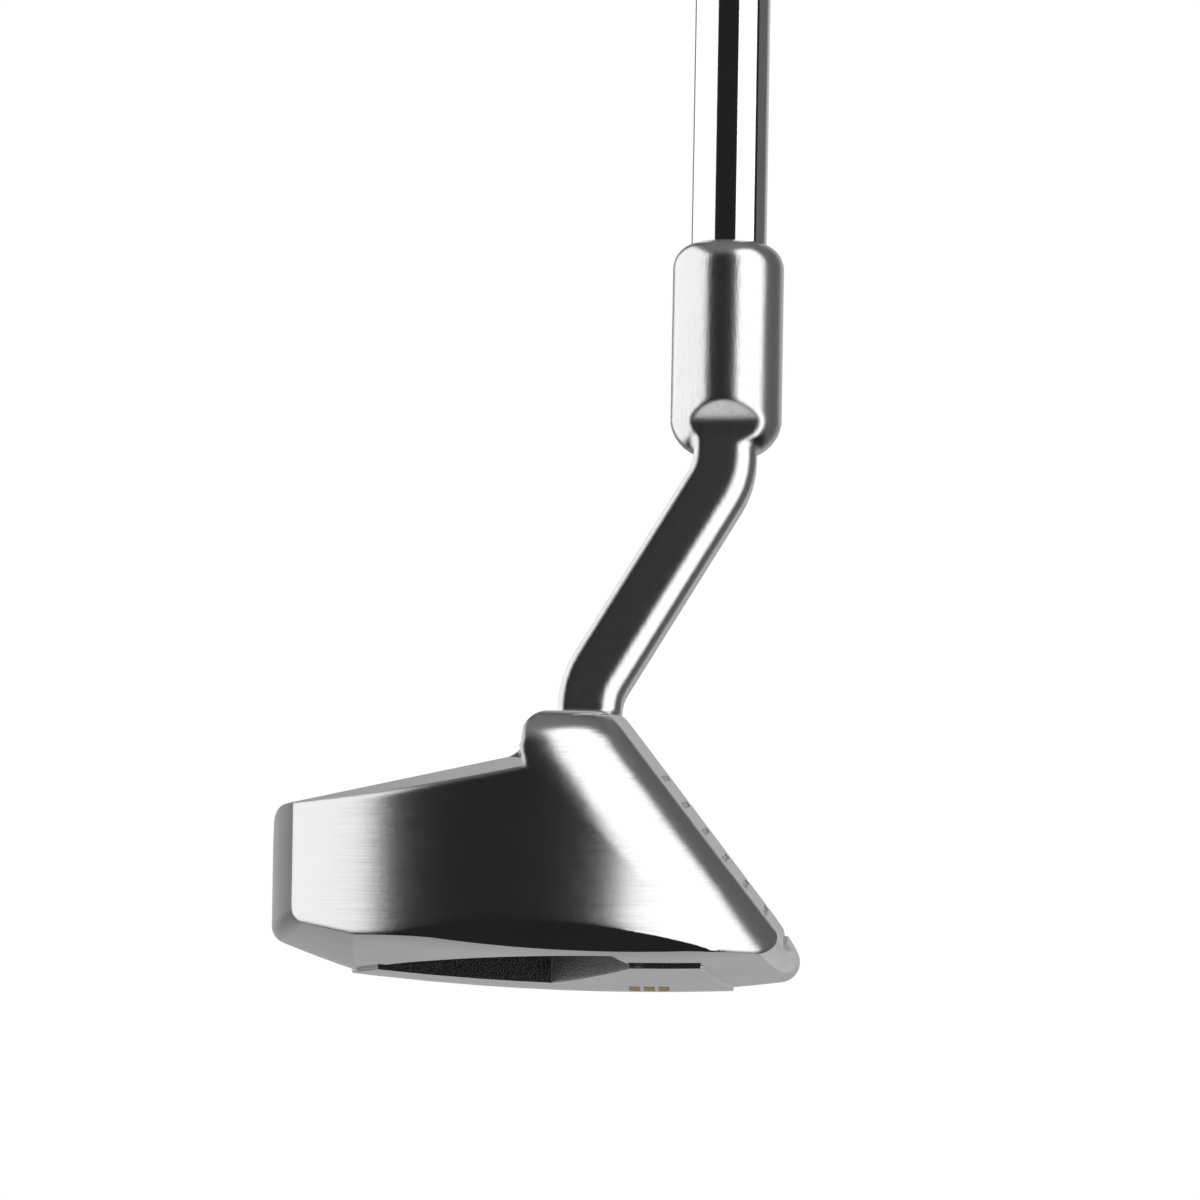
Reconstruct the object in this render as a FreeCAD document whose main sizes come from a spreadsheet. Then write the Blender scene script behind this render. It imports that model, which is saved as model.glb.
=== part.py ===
"""Putter-style chipper: cast head with neck and hosel, steel shaft and rubber grip.

Millimetres. +X is the target direction (the grooved face looks along it), +Y runs from toe to
heel, +Z is up. The origin is the middle of the flat spot on the sole, on the ground.
"""
import FreeCAD, Part
import math
import os
import Sketcher

V = FreeCAD.Vector
doc = FreeCAD.newDocument("chipper")

# ---------------------------------------------------------------- driving dimensions
SIZES = {
    # how the club stands
    "lie": 80.0,              # shaft to ground, seen from the front
    "loft": 38.0,             # face to vertical
    "club_length": 889.0,     # along the shaft axis, ground to grip end
    "axis_x": 11.2,           # shaft axis, in front of the origin
    "axis_y": 30.2,           # where the shaft axis meets the ground
    # head, seen from above
    "toe_radius": 48.0,
    "toe_x": -9.4,            # centre of the toe arc
    "back_x": -42.4,
    "back_corner": 4.4,       # the toe arc meets the back arc this far in front of back_x
    "back_radius": 187.0,
    "front_round": 12.0,      # the sides turn into the front with this radius
    "front_margin": 1.2,      # stock milled off the front to make the face
    # head, seen from the toe
    "face_foot_x": 25.04,     # where the face plane meets the ground
    "top_height": 33.5,
    "top_round": 3.0,
    "step_x": -11.2,          # wall behind the top line
    "step_round": 2.5,
    "crown_height": 28.4,     # crown at that wall
    "crown_angle": 12.7,
    "back_foot": 9.0,         # the back is furthest out at this height
    "back_lean": 5.0,
    "back_round": 3.0,
    "blank_floor": -2.0,
    "top_end_round": 4.9,     # the top turns down into the front and both ends with this
    # crown bevels
    "bevel_y": 37.3,
    "bevel_angle": 7.5,
    # toe and heel relief under the side walls
    "relief_y": 44.0,
    "relief_height": 6.0,
    "relief_overlap": 13.0,   # the relief plane is cut this far inside relief_y
    "relief_angle": 31.0,
    "relief_round": 2.0,
    # sole
    "sole_radius_x": 300.0,
    "sole_radius_y": 180.0,
    "flat_depth": 0.08,
    "pad_step": 0.35,
    "end_rise_radius": 130.0, # the sole rises faster towards the nose and the back
    "nose_rise_x": 1.3,       # lowest point of the nose's curve
    "nose_rise_z": 0.1,
    "back_rise_x": 7.4,       # the same for the back
    "back_rise_z": -4.05,
    "face_edge_round": 2.4,   # leading edge and both sides of the face
    "back_foot_round": 2.2,
    "sole_half": 55.0,        # half the width that the sole is cut over
    "sole_sweep": 28.0,       # degrees about the sole's cross axis
    # sole pad outline
    "pad_back_x": -32.0,
    "pad_back_y": 12.0,
    "pad_wing_back_x": -28.5,
    "pad_wing_back_y": 21.5,
    "pad_wing_front_x": 1.5,
    "pad_wing_front_y": 35.5,
    "pad_shoulder_x": 10.0,
    "pad_shoulder_y": 35.3,
    "pad_front_x": 13.5,
    "pad_front_y": 13.0,
    "pad_stock": 9.0,
    # weight pockets in the sole
    "pocket_x": -7.9,
    "pocket_y": 21.5,
    "pocket_corner_x": -0.5,
    "pocket_corner_y": 40.8,
    "pocket_arc": 30.0,
    "pocket_top": 20.0,
    # score lines
    "groove_first": 8.6,
    "groove_pitch": 4.0,
    "groove_count": 7,
    "groove_width": 0.9,
    "groove_depth": 0.45,
    "groove_length": 62.0,
    "groove_lip": 0.3,
    # three short bars let into the sole pad
    "mark_x": 3.6,
    "mark_y": -15.0,
    "mark_width": 1.3,
    "mark_length": 9.0,
    "mark_pitch": 1.75,
    "mark_top": 1.6,
    # sight line in the crown
    "sight_gap": 2.0,
    "sight_length": 20.0,
    "sight_width": 1.2,
    "sight_depth": 0.4,
    # neck
    "neck_width": 7.85,
    "neck_depth": 9.4,
    "neck_back_round": 0.9,
    "neck_front_round": 2.8,
    "neck_foot_x": -5.0,
    "neck_foot_v": 27.0,
    "neck_low_v": 36.6,
    "neck_high_v": 64.0,
    "neck_bend": 9.0,
    "neck_overlap": 8.0,      # the bar runs this far up inside the hosel
    # hosel
    "hosel_radius": 6.93,
    "hosel_low_v": 70.9,
    "hosel_high_v": 93.4,
    "hosel_dome": 2.0,
    "dome_drop": 2.8,
    "dome_arc": 2.96,
    "shoulder_radius": 4.0,
    "shoulder_drop": 3.8,
    "shoulder_arc": 5.0,
    "scallop_radius": 5.0,
    "scallop_v": 68.3,
    "scallop_reach": 12.0,
    "bore_radius": 4.85,
    "bore_low_v": 75.0,
    # shaft
    "tip_radius": 4.7,
    "butt_radius": 7.62,
    "tip_wall": 0.9,
    "butt_wall": 0.5,
    "step_first_v": 250.0,
    "step_pitch": 32.0,
    "step_count": 11,
    "step_ramp": 1.2,
    # tip weight
    "weight_radius": 3.6,
    "weight_head": 3.0,
    "weight_cone": 1.0,
    "weight_length": 22.0,
    # grip
    "grip_length": 268.0,
    "grip_low_radius": 9.6,
    "grip_high_radius": 13.4,
    "mouth_round": 1.2,
    "mouth_lip": 3.0,         # bare rubber below the tape
    "flare_length": 10.0,
    "tape_thickness": 0.2,
    "cap_thickness": 4.0,
    "cap_radius": 15.6,
    "cap_round": 4.0,
    "cap_plug_length": 8.0,
    "vent_radius": 1.6,
}

sheet = doc.addObject("Spreadsheet::Sheet", "Sizes")
for row, (alias, value) in enumerate(SIZES.items(), start=1):
    sheet.set("A%d" % row, alias)
    sheet.set("B%d" % row, str(value))
    sheet.setAlias("B%d" % row, alias)
doc.recompute()


def named(text):
    """The expression with every size's name pointed at its cell."""
    words = []
    word = ""
    for letter in text + " ":
        if letter.isalnum() or letter == "_":
            word += letter
            continue
        words.append("Sizes." + word if word in SIZES else word)
        words.append(letter)
        word = ""
    return "".join(words).strip()


def number(text):
    """The value that an expression has now."""
    value = sheet.evalExpression(named(text))
    return float(getattr(value, "Value", value))


# ---------------------------------------------------------------- sketches
LEAN = "lie - 90"             # turn about X that lays +Z along the shaft


def origin_plane(body, role):
    """One of the body's own origin planes."""
    for feature in body.Origin.OriginFeatures:
        if feature.Role == role:
            return feature
    raise ValueError(role)


def new_sketch(body, name, role, base=("0", "0", "0"), axis=V(1, 0, 0), angle="0"):
    """A sketch on an origin plane, moved by base and turned by angle in that plane's axes."""
    sketch = body.newObject("Sketcher::SketchObject", name)
    sketch.AttachmentSupport = [(origin_plane(body, role), "")]
    sketch.MapMode = "FlatFace"
    start = V(*[number(text) for text in base])
    sketch.AttachmentOffset = FreeCAD.Placement(start, FreeCAD.Rotation(axis, number(angle)))
    for letter, text in zip("xyz", base):
        if text != "0":
            sketch.setExpression("AttachmentOffset.Base." + letter, named(text))
    if angle != "0":
        sketch.setExpression("AttachmentOffset.Rotation.Angle", named(angle))
    return sketch


def leaning_sketch(body, name):
    """A sketch in the plane of the neck and shaft: x is +X, y runs up the shaft."""
    return new_sketch(body, name, "XZ_Plane", ("0", "0", "-axis_y"), V(1, 0, 0), LEAN)


def held(sketch, kind, places, text):
    """A dimension bound to the sheet."""
    index = sketch.addConstraint(Sketcher.Constraint(kind, *places, number(text)))
    sketch.setExpression("Constraints[%d]" % index, named(text))


def arc_between(start, end, radius):
    """Arc from start to end: to the left of the chord for a radius above 0, else to the right."""
    chord = end - start
    middle = (start + end) * 0.5
    side = V(-chord.y, chord.x, 0).normalize()
    reach = abs(radius)
    rise = reach - math.sqrt(reach * reach - chord.Length ** 2 / 4)
    return Part.Arc(start, middle + side * math.copysign(rise, radius), end)


def add_outline(sketch, points, arcs=None, closed=True):
    """Lines through the points. arcs gives the edges that are arcs, as index: (radius, side)."""
    arcs = arcs or {}
    corners = [V(number(x), number(y), 0) for x, y in points]
    count = len(points) if closed else len(points) - 1
    ends = []
    for index in range(count):
        start = corners[index]
        end = corners[(index + 1) % len(points)]
        if index in arcs:
            radius, side = arcs[index]
            geo = sketch.addGeometry(arc_between(start, end, side * number(radius)), False)
            flip = (sketch.getPoint(geo, 1) - start).Length > (sketch.getPoint(geo, 2) - start).Length
            ends.append((geo, 2, 1) if flip else (geo, 1, 2))
            held(sketch, "Radius", (geo,), radius)
        else:
            geo = sketch.addGeometry(Part.LineSegment(start, end), False)
            ends.append((geo, 1, 2))
    for index, (geo, first, last) in enumerate(ends):
        if closed or index + 1 < count:
            after = ends[(index + 1) % count]
            sketch.addConstraint(Sketcher.Constraint("Coincident", geo, last, after[0], after[1]))
        held(sketch, "DistanceX", (-1, 1, geo, first), points[index][0])
        held(sketch, "DistanceY", (-1, 1, geo, first), points[index][1])
    if not closed:
        held(sketch, "DistanceX", (-1, 1, ends[-1][0], ends[-1][2]), points[-1][0])
        held(sketch, "DistanceY", (-1, 1, ends[-1][0], ends[-1][2]), points[-1][1])


def add_axis(sketch, start, end):
    """A construction line that a feature turns about or repeats along."""
    first = V(number(start[0]), number(start[1]), 0)
    last = V(number(end[0]), number(end[1]), 0)
    geo = sketch.addGeometry(Part.LineSegment(first, last), True)
    for place, point in ((1, start), (2, end)):
        held(sketch, "DistanceX", (-1, 1, geo, place), point[0])
        held(sketch, "DistanceY", (-1, 1, geo, place), point[1])


# ---------------------------------------------------------------- features
def new_body(name, upright=True):
    """A body for one piece. A body that isn't upright has its Z along the shaft axis."""
    body = doc.addObject("PartDesign::Body", name)
    body.Label = name
    if not upright:
        turn = FreeCAD.Rotation(V(1, 0, 0), number(LEAN))
        body.Placement = FreeCAD.Placement(V(number("axis_x"), number("axis_y"), 0), turn)
        body.setExpression("Placement.Base.x", named("axis_x"))
        body.setExpression("Placement.Base.y", named("axis_y"))
        body.setExpression("Placement.Rotation.Angle", named(LEAN))
    return body


def volume(body):
    """What the body holds so far."""
    return body.Shape.Volume if not body.Shape.isNull() else 0.0


def settle(body, feature, adds):
    """Recompute, and stop if the feature failed or worked the wrong way."""
    before = settle.volumes.get(body.Name, 0.0)
    body.Tip = feature
    doc.recompute()
    after = volume(body)
    print("%-24s %12.1f" % (feature.Name, after))
    if "Invalid" in feature.State or "Error" in feature.State or not feature.Shape.isValid():
        raise RuntimeError(feature.Name + " failed")
    if adds and after <= before or not adds and after >= before:
        raise RuntimeError(feature.Name + " changed nothing")
    settle.volumes[body.Name] = after
    return feature


settle.volumes = {}


def extrude(body, kind, sketch, length="", symmetric=False, reverse=False):
    """A Pad or Pocket. No length cuts through everything."""
    feature = body.newObject("PartDesign::" + kind, sketch.Name + "_" + kind.lower())
    feature.Profile = sketch
    feature.Midplane = symmetric
    feature.Reversed = reverse
    if length:
        feature.Length = number(length)
        feature.setExpression("Length", named(length))
    else:
        feature.Type = "ThroughAll"
    return settle(body, feature, kind == "Pad")


def revolve(body, kind, sketch, axis="V_Axis", angle="360", symmetric=False, reverse=False):
    """A Revolution or Groove about one of the sketch's own axes."""
    feature = body.newObject("PartDesign::" + kind, sketch.Name + "_" + kind.lower())
    feature.Profile = sketch
    feature.ReferenceAxis = (sketch, [axis])
    feature.Midplane = symmetric
    feature.Reversed = reverse
    feature.Angle = number(angle)
    if angle in SIZES:
        feature.setExpression("Angle", named(angle))
    return settle(body, feature, kind == "Revolution")


def edge_names(feature, test):
    """The names of the feature's edges that pass a test of their middle point."""
    names = []
    for index, edge in enumerate(feature.Shape.Edges, start=1):
        middle = edge.valueAt((edge.FirstParameter + edge.LastParameter) / 2)
        if test(middle, edge):
            names.append("Edge%d" % index)
    return names


def round_edges(body, name, test, radius):
    """Round the chosen edges."""
    base = body.Tip
    feature = body.newObject("PartDesign::Fillet", name)
    feature.Base = (base, edge_names(base, test))
    feature.Radius = number(radius)
    feature.setExpression("Radius", named(radius))
    body.Tip = feature
    doc.recompute()
    if "Invalid" in feature.State or not feature.Shape.isValid():
        raise RuntimeError(name + " failed")
    settle.volumes[body.Name] = volume(body)
    print("%-24s %12.1f" % (name, volume(body)))
    return feature


# ---------------------------------------------------------------- head casting
FAR = "70"                    # beyond any side of the head
ABOVE = "45"                  # over the top of the head
BELOW = "-12"                 # under the sole
TOE_AND_HEEL = ("-1", "1")
NEAR = 0.01                   # how close two heights must be to count as the same
BESIDE = 3                    # an edge this close to a plane counts as lying along it
LONG_EDGE = 60                # the leading edge is longer than this
SIDE_EDGE = 14                # and each side of the face longer than this


def face_x(height, margin="0"):
    """Where the face plane, moved forward by a margin, stands at a height."""
    return "face_foot_x + (%s) / cos(loft) - (%s) * tan(loft)" % (margin, height)


def crown_z(x):
    """Height of the crown plane."""
    return "crown_height - (step_x - (%s)) * tan(crown_angle)" % x


def head_blank(body):
    """The head from above: large toe and heel arcs, closed by a flatter arc at the back."""
    sketch = new_sketch(body, "plan", "XY_Plane", ("0", "0", "blank_floor"))
    corner_x = "(back_x + back_corner)"
    corner_y = "sqrt(toe_radius ^ 2 - (%s - toe_x) ^ 2)" % corner_x
    nose = "toe_x + toe_radius"
    add_outline(sketch, [(corner_x, "-" + corner_y), (nose, "0"), (corner_x, corner_y)],
                {0: ("toe_radius", -1), 1: ("toe_radius", -1), 2: ("back_radius", -1)})
    extrude(body, "Pad", sketch, "top_height - blank_floor")


def cut_front(body, name, margin):
    """Take away what is in front of the sloping face plane."""
    sketch = new_sketch(body, name, "XZ_Plane")
    add_outline(sketch, [(face_x(ABOVE, margin), ABOVE), (face_x(BELOW, margin), BELOW),
                         (FAR, BELOW), (FAR, ABOVE)])
    extrude(body, "Pocket", sketch, "", True)


def round_front(body):
    """The sides turn into the front."""
    def upright_ellipse(middle, edge):
        return edge.Curve.TypeId == "Part::GeomEllipse"
    round_edges(body, "front_rounds", upright_ellipse, "front_round")


def cut_top(body):
    """The top line, the wall behind it, the sloping crown and the leaning back."""
    sketch = new_sketch(body, "top_profile", "XZ_Plane")
    step_reach = "step_round / tan((90 + crown_angle) / 2)"
    back_reach = "back_round / tan((90 + crown_angle + back_lean) / 2)"
    corner_x = ("((back_x + (crown_height - step_x * tan(crown_angle) - back_foot) * tan(back_lean))"
                " / (1 - tan(crown_angle) * tan(back_lean)))")
    crown_end_x = "%s + %s * cos(crown_angle)" % (corner_x, back_reach)
    add_outline(sketch, [
        (FAR, "top_height"),
        ("step_x + top_round", "top_height"),
        ("step_x", "top_height - top_round"),
        ("step_x", "crown_height + " + step_reach),
        ("step_x - %s * cos(crown_angle)" % step_reach, "crown_height - %s * sin(crown_angle)" % step_reach),
        (crown_end_x, crown_z(crown_end_x)),
        ("%s - %s * sin(back_lean)" % (corner_x, back_reach),
         "%s - %s * cos(back_lean)" % (crown_z(corner_x), back_reach)),
        ("back_x", "back_foot"),
        ("-" + FAR, "back_foot"),
        ("-" + FAR, ABOVE),
        (FAR, ABOVE),
    ], {1: ("top_round", -1), 3: ("step_round", 1), 5: ("back_round", -1)})
    extrude(body, "Pocket", sketch, "", True)


def round_top(body):
    """The top turns down into the front and the toe and heel walls."""
    def top_front(middle, edge):
        return abs(middle.z - number("top_height")) < NEAR and middle.x > number("toe_x")
    round_edges(body, "top_rounds", top_front, "top_end_round")


def bevel_crown(body):
    """A shallow bevel along each side of the crown, which widens towards the top line."""
    sketch = new_sketch(body, "crown_bevel", "YZ_Plane", ("0", "crown_height", "step_x"),
                        V(1, 0, 0), "-crown_angle")
    for side in TOE_AND_HEEL:
        start = side + " * bevel_y"
        end = side + " * " + FAR
        fall = "-(%s - bevel_y) * tan(bevel_angle)" % FAR
        add_outline(sketch, [(start, "0"), (end, fall), (end, "step_round"), (start, "step_round")])
    extrude(body, "Pocket", sketch, FAR)


def relieve_ends(body):
    """A flat under the toe and the heel, between the side wall and the sole."""
    sketch = new_sketch(body, "end_relief", "YZ_Plane")
    for side in TOE_AND_HEEL:
        inner = "(relief_y - relief_overlap)"
        low = "relief_height - relief_overlap * tan(relief_angle)"
        high = "relief_height + (%s - relief_y) * tan(relief_angle)" % FAR
        add_outline(sketch, [(side + " * " + inner, low), (side + " * " + FAR, high),
                             (side + " * " + FAR, BELOW), (side + " * " + inner, BELOW)])
    extrude(body, "Pocket", sketch, "", True)


def curve_sole(body, name, lift, middle_x="0", radius="sole_radius_x", sides=(True, False)):
    """The sole, curved both ways, with its lowest point lift above the ground at middle_x.

    sides says whether it is cut both ways from middle_x, and if not, whether towards the back.
    """
    sketch = new_sketch(body, name, "YZ_Plane", ("0", "0", middle_x))
    side_z = lift + " + sole_radius_y - sqrt(sole_radius_y ^ 2 - sole_half ^ 2)"
    add_outline(sketch, [("-sole_half", side_z), ("sole_half", side_z), ("sole_half", BELOW),
                         ("-sole_half", BELOW)],
                {0: ("sole_radius_y", -1)})
    height = lift + " + " + radius
    add_axis(sketch, ("-sole_half", height), ("sole_half", height))
    revolve(body, "Groove", sketch, "Axis0", "sole_sweep", *sides)


def add_pad(body):
    """The raised middle of the sole, narrow between the two pockets."""
    sketch = new_sketch(body, "sole_pad", "XY_Plane", ("0", "0", "blank_floor"))
    toe_side = [("pad_back_x", "pad_back_y"), ("pad_wing_back_x", "pad_wing_back_y"),
                ("pocket_x", "pocket_y"), ("pad_wing_front_x", "pad_wing_front_y"),
                ("pad_shoulder_x", "pad_shoulder_y"), ("pad_front_x", "pad_front_y")]
    toe = [(x, "-" + y) for x, y in toe_side]
    add_outline(sketch, toe + toe_side[::-1])
    extrude(body, "Pad", sketch, "pad_stock")


def flatten_spot(body):
    """The flat spot that the club rests on."""
    sketch = new_sketch(body, "flat_spot", "XZ_Plane")
    add_outline(sketch, [("-" + FAR, "0"), (FAR, "0"), (FAR, BELOW), ("-" + FAR, BELOW)])
    extrude(body, "Pocket", sketch, "", True)


def sink_pockets(body):
    """The two deep pockets that take weight out of the sole."""
    sketch = new_sketch(body, "sole_pockets", "XY_Plane", ("0", "0", "blank_floor"))
    for side in TOE_AND_HEEL:
        def there(y):
            return side + " * " + y
        turn = 1 if side == "1" else -1
        add_outline(sketch, [("pocket_x", there("pocket_y")), ("pad_wing_front_x", there("pad_wing_front_y")),
                             ("pocket_corner_x", there("pocket_corner_y")),
                             ("pad_wing_back_x", there("pad_wing_back_y"))],
                    {2: ("pocket_arc", -turn)})
    extrude(body, "Pocket", sketch, "pocket_top - blank_floor", False, True)


def add_neck(body):
    """A flat bar bent up, forward and up again, with rounded corners."""
    bend = "atan((axis_x - neck_foot_x) / (neck_high_v - neck_low_v))"
    back = "neck_bend * tan(%s / 2)" % bend
    path = leaning_sketch(body, "neck_path")
    add_outline(path, [
        ("neck_foot_x", "neck_foot_v"),
        ("neck_foot_x", "neck_low_v - " + back),
        ("neck_foot_x + %s * sin(%s)" % (back, bend), "neck_low_v + %s * cos(%s)" % (back, bend)),
        ("axis_x - %s * sin(%s)" % (back, bend), "neck_high_v - %s * cos(%s)" % (back, bend)),
        ("axis_x", "neck_high_v + " + back),
        ("axis_x", "neck_high_v + neck_overlap"),
    ], {1: ("neck_bend", 1), 3: ("neck_bend", -1)}, False)
    section = new_sketch(body, "neck_section", "XY_Plane",
                         ("0", "axis_y + neck_foot_v * cos(lie)", "neck_foot_v * sin(lie)"),
                         V(1, 0, 0), LEAN)
    wide = "neck_width / 2"
    deep = "neck_depth / 2"
    points = []
    corners = {}
    for x_side, y_side, x_first in ((1, 1, False), (-1, 1, True), (-1, -1, False), (1, -1, True)):
        corner = "neck_front_round" if x_side == 1 else "neck_back_round"
        corners[len(points)] = (corner, -1)
        along = ("neck_foot_x + %d * (%s - %s)" % (x_side, wide, corner), "%d * %s" % (y_side, deep))
        across = ("neck_foot_x + %d * %s" % (x_side, wide), "%d * (%s - %s)" % (y_side, deep, corner))
        points += [along, across] if x_first else [across, along]
    add_outline(section, points, corners)
    pipe = body.newObject("PartDesign::AdditivePipe", "neck")
    pipe.Profile = section
    pipe.Spine = (path, ["Edge%d" % index for index in range(1, 6)])
    settle(body, pipe, True)


def add_hosel(body):
    """A round socket with a domed top and a coned bottom."""
    sketch = leaning_sketch(body, "hosel")
    edge = "axis_x + hosel_radius"
    add_outline(sketch, [
        ("axis_x", "hosel_low_v - shoulder_drop"),
        ("axis_x + shoulder_radius", "hosel_low_v - shoulder_drop"),
        (edge, "hosel_low_v"),
        (edge, "hosel_high_v - dome_drop"),
        (edge + " - hosel_dome", "hosel_high_v"),
        ("axis_x", "hosel_high_v"),
    ], {1: ("shoulder_arc", -1), 3: ("dome_arc", -1)})
    add_axis(sketch, ("axis_x", "hosel_low_v"), ("axis_x", "hosel_high_v"))
    revolve(body, "Revolution", sketch, "Axis0")


def scallop_hosel(body):
    """The flat sides of the neck run up into the hosel and curve out of it."""
    sketch = new_sketch(body, "scallop", "YZ_Plane", ("axis_y", "0", "0"), V(0, 0, 1), LEAN)
    for side in TOE_AND_HEEL:
        flat = side + " * neck_depth / 2"
        out = side + " * (neck_depth / 2 + scallop_radius)"
        far = side + " * 2 * hosel_radius"
        low = "hosel_low_v - scallop_reach"
        turn = 1 if side == "1" else -1
        add_outline(sketch, [(flat, low), (flat, "scallop_v"), (out, "scallop_v + scallop_radius"),
                             (far, "scallop_v + scallop_radius"), (far, low)],
                    {1: ("scallop_radius", turn)})
    extrude(body, "Pocket", sketch, "", True)


def bore_hosel(body):
    """The blind bore that the shaft is glued into."""
    sketch = leaning_sketch(body, "bore")
    edge = "axis_x + bore_radius"
    clear_v = "hosel_high_v + hosel_dome"
    add_outline(sketch, [("axis_x", "bore_low_v"), (edge, "bore_low_v"), (edge, clear_v),
                         ("axis_x", clear_v)])
    add_axis(sketch, ("axis_x", "bore_low_v"), ("axis_x", "hosel_high_v"))
    revolve(body, "Groove", sketch, "Axis0")


def score_face(body):
    """Straight score lines across the face, evenly spaced up it."""
    sketch = new_sketch(body, "score_line", "XZ_Plane", ("face_foot_x", "0", "0"), V(0, 0, 1), "loft")
    low = "groove_first"
    edge = "groove_width / 2"
    root = "groove_width / 4"
    lip = "groove_lip"
    add_outline(sketch, [(lip, low + " - " + edge), (lip, low + " + " + edge), ("0", low + " + " + edge),
                         ("-groove_depth", low + " + " + root), ("-groove_depth", low + " - " + root),
                         ("0", low + " - " + edge)])
    add_axis(sketch, ("0", "0"), ("0", "10"))
    cut = body.newObject("PartDesign::Pocket", "score_line_pocket")
    cut.Profile = sketch
    cut.Midplane = True
    cut.Length = number("groove_length")
    cut.setExpression("Length", named("groove_length"))
    settle(body, cut, False)
    repeat = body.newObject("PartDesign::LinearPattern", "score_lines")
    repeat.Originals = [cut]
    repeat.Direction = (sketch, ["Axis0"])
    repeat.Mode = "Spacing"
    repeat.Offset = number("groove_pitch")
    repeat.setExpression("Offset", named("groove_pitch"))
    repeat.Occurrences = int(number("groove_count"))
    repeat.setExpression("Occurrences", named("groove_count"))
    settle(body, repeat, False)


def round_face_edges(body):
    """The face turns into the sole at its leading edge, and into the toe and heel walls."""
    def leading(middle, edge):
        ahead = middle.x > number("face_foot_x") - BESIDE
        return ahead and abs(middle.y) < BESIDE and edge.Length > LONG_EDGE

    def beside_face(middle, edge):
        beside = abs(middle.y) > number("groove_length / 2") and middle.x > 0
        curved = edge.Curve.TypeId != "Part::GeomLine"
        return beside and curved and middle.z > BESIDE and edge.Length > SIDE_EDGE

    def either(middle, edge):
        return leading(middle, edge) or beside_face(middle, edge)
    round_edges(body, "face_edges", either, "face_edge_round")


def round_back_foot(body):
    """The back turns under into the sole."""
    def foot(middle, edge):
        behind = middle.x < number("back_x") + BESIDE
        return behind and abs(middle.y) < BESIDE and middle.z < number("back_foot")
    round_edges(body, "back_foot_round", foot, "back_foot_round")


def bars(sketch):
    """The outlines of the three marks."""
    wide = "mark_width / 2"
    long = "mark_length / 2"
    for step in ("-1", "0", "1"):
        low = "mark_x + %s * mark_pitch - %s" % (step, wide)
        high = "mark_x + %s * mark_pitch + %s" % (step, wide)
        add_outline(sketch, [(low, "mark_y - " + long), (high, "mark_y - " + long),
                             (high, "mark_y + " + long), (low, "mark_y + " + long)])


def sink_marks(body):
    """Three short recesses side by side in the sole pad."""
    sketch = new_sketch(body, "sole_marks", "XY_Plane", ("0", "0", "blank_floor"))
    bars(sketch)
    extrude(body, "Pocket", sketch, "mark_top - blank_floor", False, True)


def slot(sketch):
    """The outline of the sight line, in the plane of the crown."""
    far_end = "-(step_round + sight_gap + sight_length)"
    near_end = "-(step_round + sight_gap)"
    half = "sight_width / 2"
    add_outline(sketch, [(far_end, "-" + half), (near_end, "-" + half), (near_end, half), (far_end, half)])


def crown_sketch(body, name):
    """A sketch in the crown plane, its origin at the foot of the wall behind the top line."""
    return new_sketch(body, name, "XY_Plane", ("step_x", "0", "crown_height"), V(0, 1, 0), "-crown_angle")


def sink_sight_line(body):
    """A straight sight line let into the crown."""
    sketch = crown_sketch(body, "sight_line")
    slot(sketch)
    extrude(body, "Pocket", sketch, "sight_depth")


def round_head_edges(body):
    """Soften the side wall where it meets the relief."""
    def over_relief(middle, edge):
        beside = abs(middle.y) > number("relief_y") and middle.z < number("back_foot")
        return beside and edge.Curve.TypeId == "Part::GeomEllipse"
    round_edges(body, "relief_rounds", over_relief, "relief_round")


def build_head():
    """The cast head, with its neck and hosel in one piece."""
    body = new_body("head_casting")
    head_blank(body)
    cut_front(body, "stock_front", "front_margin")
    round_front(body)
    round_top(body)
    cut_top(body)
    bevel_crown(body)
    relieve_ends(body)
    cut_front(body, "face", "0")
    curve_sole(body, "sole_relief", "(pad_step - flat_depth)")
    curve_sole(body, "nose_rise", "nose_rise_z", "nose_rise_x", "end_rise_radius", (False, True))
    curve_sole(body, "back_rise", "back_rise_z", "back_rise_x", "end_rise_radius", (False, False))
    round_face_edges(body)
    round_back_foot(body)
    add_pad(body)
    curve_sole(body, "sole_contact", "(-flat_depth)")
    flatten_spot(body)
    sink_pockets(body)
    sink_marks(body)
    sink_sight_line(body)
    score_face(body)
    add_neck(body)
    add_hosel(body)
    scallop_hosel(body)
    bore_hosel(body)
    round_head_edges(body)
    return body


# ---------------------------------------------------------------- fills and glue
def build_mark_fill():
    """Coloured enamel in the three recesses of the sole, flush with its curve."""
    body = new_body("sole_mark_fill")
    sketch = new_sketch(body, "mark_fill", "XY_Plane", ("0", "0", "blank_floor"))
    bars(sketch)
    extrude(body, "Pad", sketch, "mark_top - blank_floor")
    curve_sole(body, "fill_contact", "(-flat_depth)")
    return body


def build_sight_fill():
    """Dark enamel in the sight line, flush with the crown."""
    body = new_body("sight_line_fill")
    sketch = crown_sketch(body, "sight_fill")
    slot(sketch)
    extrude(body, "Pad", sketch, "sight_depth", False, True)
    return body


def turned(body, name, points, arcs=None):
    """A piece turned about its own Z axis from a half section."""
    sketch = new_sketch(body, name, "XZ_Plane")
    add_outline(sketch, points, arcs)
    revolve(body, "Revolution", sketch)


def build_glue():
    """The epoxy sleeve between the shaft tip and the hosel bore."""
    body = new_body("hosel_adhesive", False)
    turned(body, "glue", [("tip_radius", "bore_low_v"), ("bore_radius", "bore_low_v"),
                          ("bore_radius", "hosel_high_v"), ("tip_radius", "hosel_high_v")])
    return body


# ---------------------------------------------------------------- shaft
BUTT_V = "(club_length - cap_thickness)"


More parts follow.
